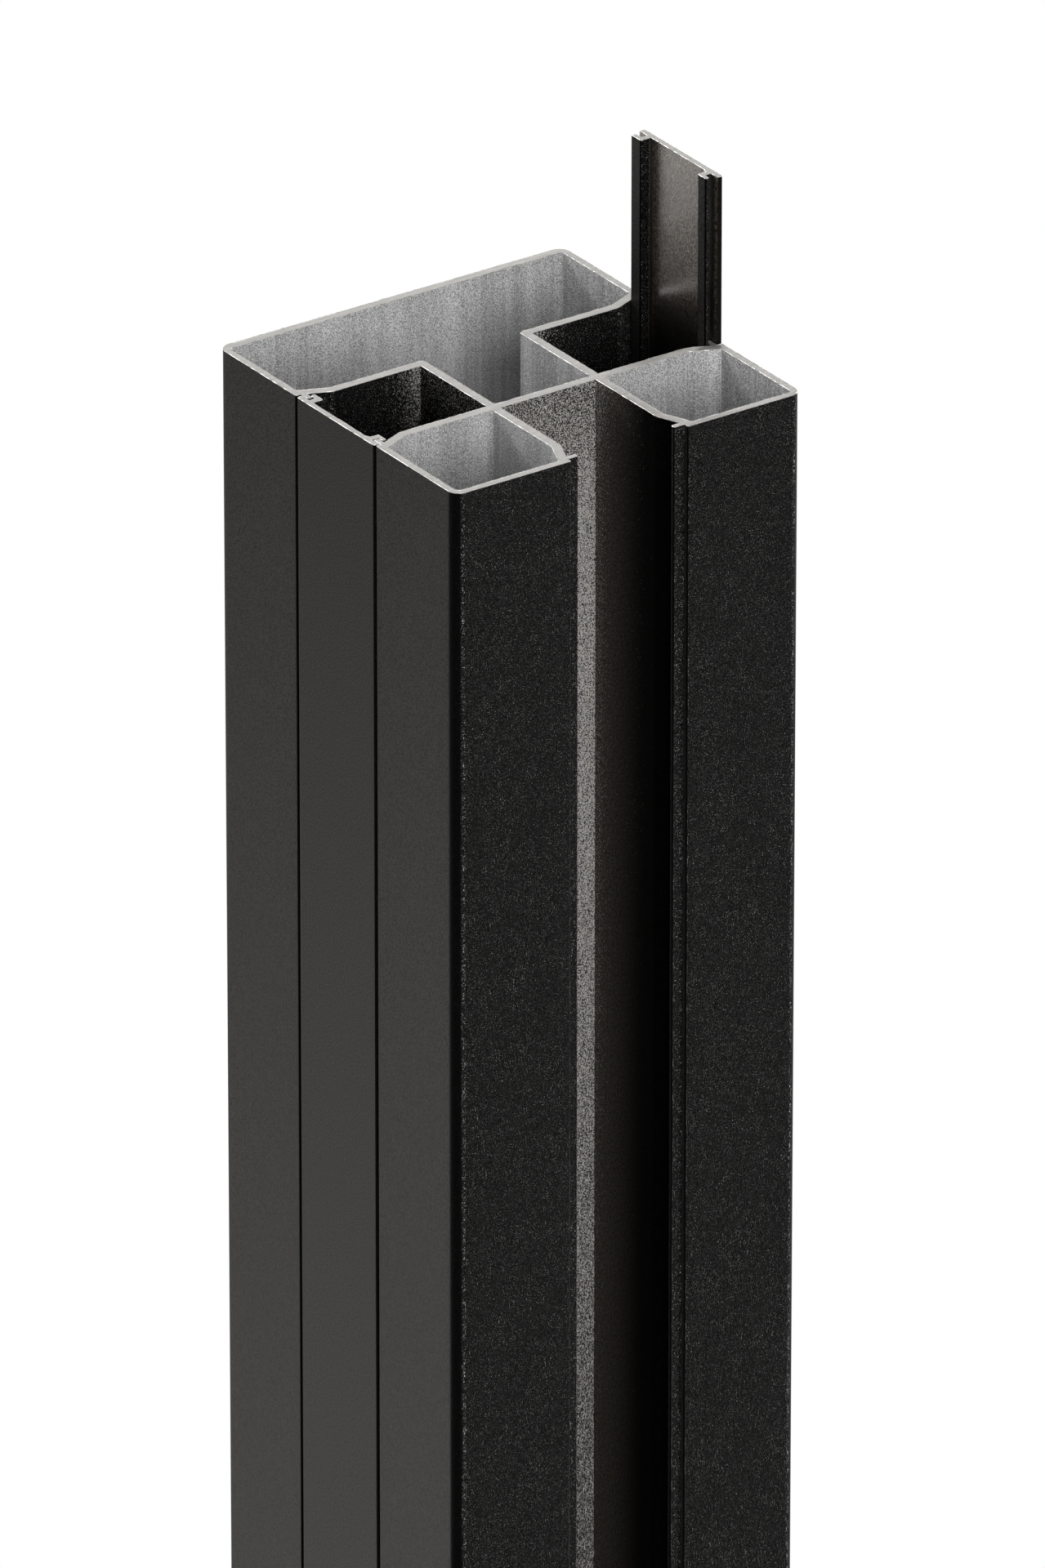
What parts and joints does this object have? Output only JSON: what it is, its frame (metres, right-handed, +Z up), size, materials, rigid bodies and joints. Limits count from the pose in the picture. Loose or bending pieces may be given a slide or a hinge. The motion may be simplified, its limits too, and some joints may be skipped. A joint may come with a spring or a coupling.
{
  "type": "fence post",
  "caption": "Square extruded fence post with board slots in its front and sides; hooked cover strips slide along the side slots to close them.",
  "frame": {"origin": "middle of the square foot, at the bottom end of the post", "axes": "+Z up the post; the open slot faces -Y, the covered slots face -X and +X, the plain back faces +Y"},
  "size_m": [0.0804, 0.08, 1.935],
  "materials": {
    "powder_coat": "fine-textured dark grey powder coat outside and in the slots, bare saw-cut ends"
  },
  "bodies": {
    "post": {"post_profile": "powder_coat"},
    "left_strip": {"left_cover": "powder_coat"},
    "right_strip": {"right_cover": "powder_coat"}
  },
  "joints": [
    {"name": "left_cover_slide", "type": "slide", "parent": "post", "child": "left_strip", "axis": [0, 0, 1], "range_m": [0, 1.8]},
    {"name": "right_cover_slide", "type": "slide", "parent": "post", "child": "right_strip", "axis": [0, 0, 1], "range_m": [-0.035, 1.765]}
  ]
}
